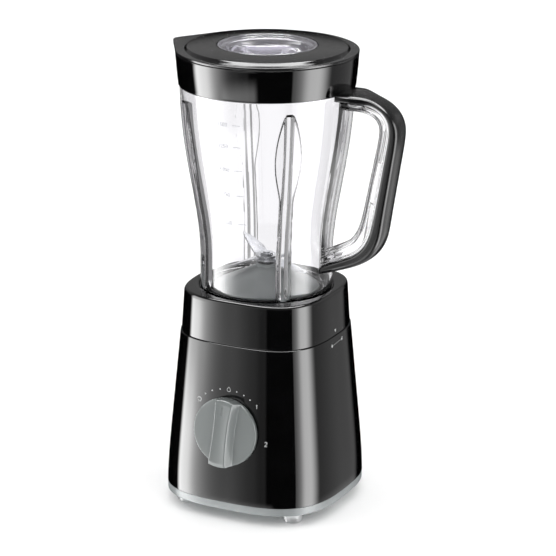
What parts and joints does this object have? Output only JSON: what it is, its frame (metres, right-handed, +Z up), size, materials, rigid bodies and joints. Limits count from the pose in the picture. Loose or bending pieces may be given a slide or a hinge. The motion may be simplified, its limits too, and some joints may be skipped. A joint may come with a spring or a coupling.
{
  "type": "countertop blender",
  "caption": "Countertop blender with a black tapering power unit, front speed dial, clear twist-lock goblet with handle, blade unit, lid and filler cap.",
  "frame": {"origin": "on the motor axis, on the plane the feet stand on", "axes": "+Z up along the motor axis, +X towards the handle, -Y towards the front with the speed dial"},
  "size_m": [0.2066, 0.1639, 0.3867],
  "materials": {
    "black_gloss": "high gloss moulded plastic",
    "trim_silver": "satin moulded plastic",
    "clear_plastic": "clear moulded plastic",
    "foot_clear": "translucent soft plastic",
    "grey_plastic": "satin grey moulded plastic",
    "black_plastic": "fine moulded texture",
    "nylon": "natural nylon",
    "rubber_black": "moulded rubber",
    "blade_steel": "bright ground edge",
    "shaft_steel": "turned",
    "screw_steel": "zinc plated",
    "lamination_steel": "stacked laminations",
    "cast_aluminium": "as cast",
    "winding_copper": "enamelled copper wire",
    "bush_bronze": "sintered bronze",
    "carbon": "carbon graphite",
    "capacitor_yellow": "moulded case"
  },
  "bodies": {
    "power_unit": {"base_housing": "black_gloss", "base_plate": "trim_silver", "feet": "foot_clear", "base_screws": "screw_steel", "cord_gland": "rubber_black", "motor_mounts": "rubber_black", "motor_screws": "screw_steel", "upper_bracket": "cast_aluminium", "lower_bracket": "cast_aluminium", "stator_core": "lamination_steel", "field_coils": "winding_copper", "stator_bolts": "screw_steel", "upper_bearing": "shaft_steel", "lower_bearing": "shaft_steel", "brush_holders": "nylon", "carbon_brushes": "carbon", "brush_springs": "shaft_steel", "selector_switch": "black_plastic", "switch_nut": "shaft_steel", "interlock_switch": "black_plastic", "terminal_block": "nylon", "suppressor_capacitor": "capacitor_yellow"},
    "knob": {"speed_knob": "grey_plastic", "switch_shaft": "shaft_steel"},
    "motor_rotor": {"motor_shaft": "shaft_steel", "armature_core": "lamination_steel", "armature_windings": "winding_copper", "commutator": "winding_copper", "cooling_fan": "nylon", "drive_coupling": "rubber_black", "shaft_slinger": "rubber_black"},
    "twist_ring": {"interlock_ring": "nylon"},
    "plunger": {"interlock_plunger": "nylon"},
    "blade_base": {"goblet_collar": "black_gloss", "blade_holder": "grey_plastic", "blade_bush": "bush_bronze", "shaft_seal": "rubber_black"},
    "blade_rotor": {"blade_shaft": "blade_steel", "driven_coupling": "rubber_black", "lower_blades": "blade_steel", "upper_blades": "blade_steel", "blade_washer": "blade_steel", "blade_nut": "blade_steel"},
    "gasket_ring": {"goblet_gasket": "rubber_black"},
    "goblet": {"jug": "clear_plastic", "rim_band": "black_gloss"},
    "lid": {"lid": "black_gloss", "lid_seal": "rubber_black"},
    "filler_cap": {"filler_cap": "clear_plastic"}
  },
  "joints": [
    {"name": "knob_turn", "type": "hinge", "parent": "power_unit", "child": "knob", "pos_m": [0, -0.07086, 0.078], "axis": [0, 0.9962, -0.0872], "range_deg": [-48, 98]},
    {"name": "motor_spin", "type": "hinge", "parent": "power_unit", "child": "motor_rotor", "pos_m": [0, 0, 0.08], "axis": [0, 0, 1], "continuous": true},
    {"name": "goblet_twist", "type": "hinge", "parent": "power_unit", "child": "twist_ring", "pos_m": [0, 0, 0.1625], "axis": [0, 0, 1], "range_deg": [0, 17]},
    {"name": "interlock_push", "type": "slide", "parent": "power_unit", "child": "plunger", "axis": [0, 0, 1], "range_m": [0, 0.0025]},
    {"name": "goblet_lift", "type": "slide", "parent": "twist_ring", "child": "blade_base", "axis": [0, 0, 1], "range_m": [0, 0.08]},
    {"name": "blade_spin", "type": "hinge", "parent": "blade_base", "child": "blade_rotor", "pos_m": [0, 0, 0.19], "axis": [0, 0, 1], "continuous": true},
    {"name": "jug_turn", "type": "hinge", "parent": "blade_base", "child": "gasket_ring", "pos_m": [0, 0, 0.18], "axis": [0, 0, 1], "range_deg": [0, 60]},
    {"name": "jug_lift", "type": "slide", "parent": "gasket_ring", "child": "goblet", "axis": [0, 0, 1], "range_m": [0, 0.08]},
    {"name": "lid_lift", "type": "slide", "parent": "goblet", "child": "lid", "axis": [0, 0, 1], "range_m": [0, 0.06]},
    {"name": "cap_lift", "type": "slide", "parent": "lid", "child": "filler_cap", "axis": [0, 0, 1], "range_m": [0, 0.06]}
  ],
  "couplings": [
    {"joint": "blade_spin", "follows": "motor_spin", "ratio": 1},
    {"joint": "interlock_push", "follows": "goblet_twist", "m_per_rad": 0.008416}
  ]
}
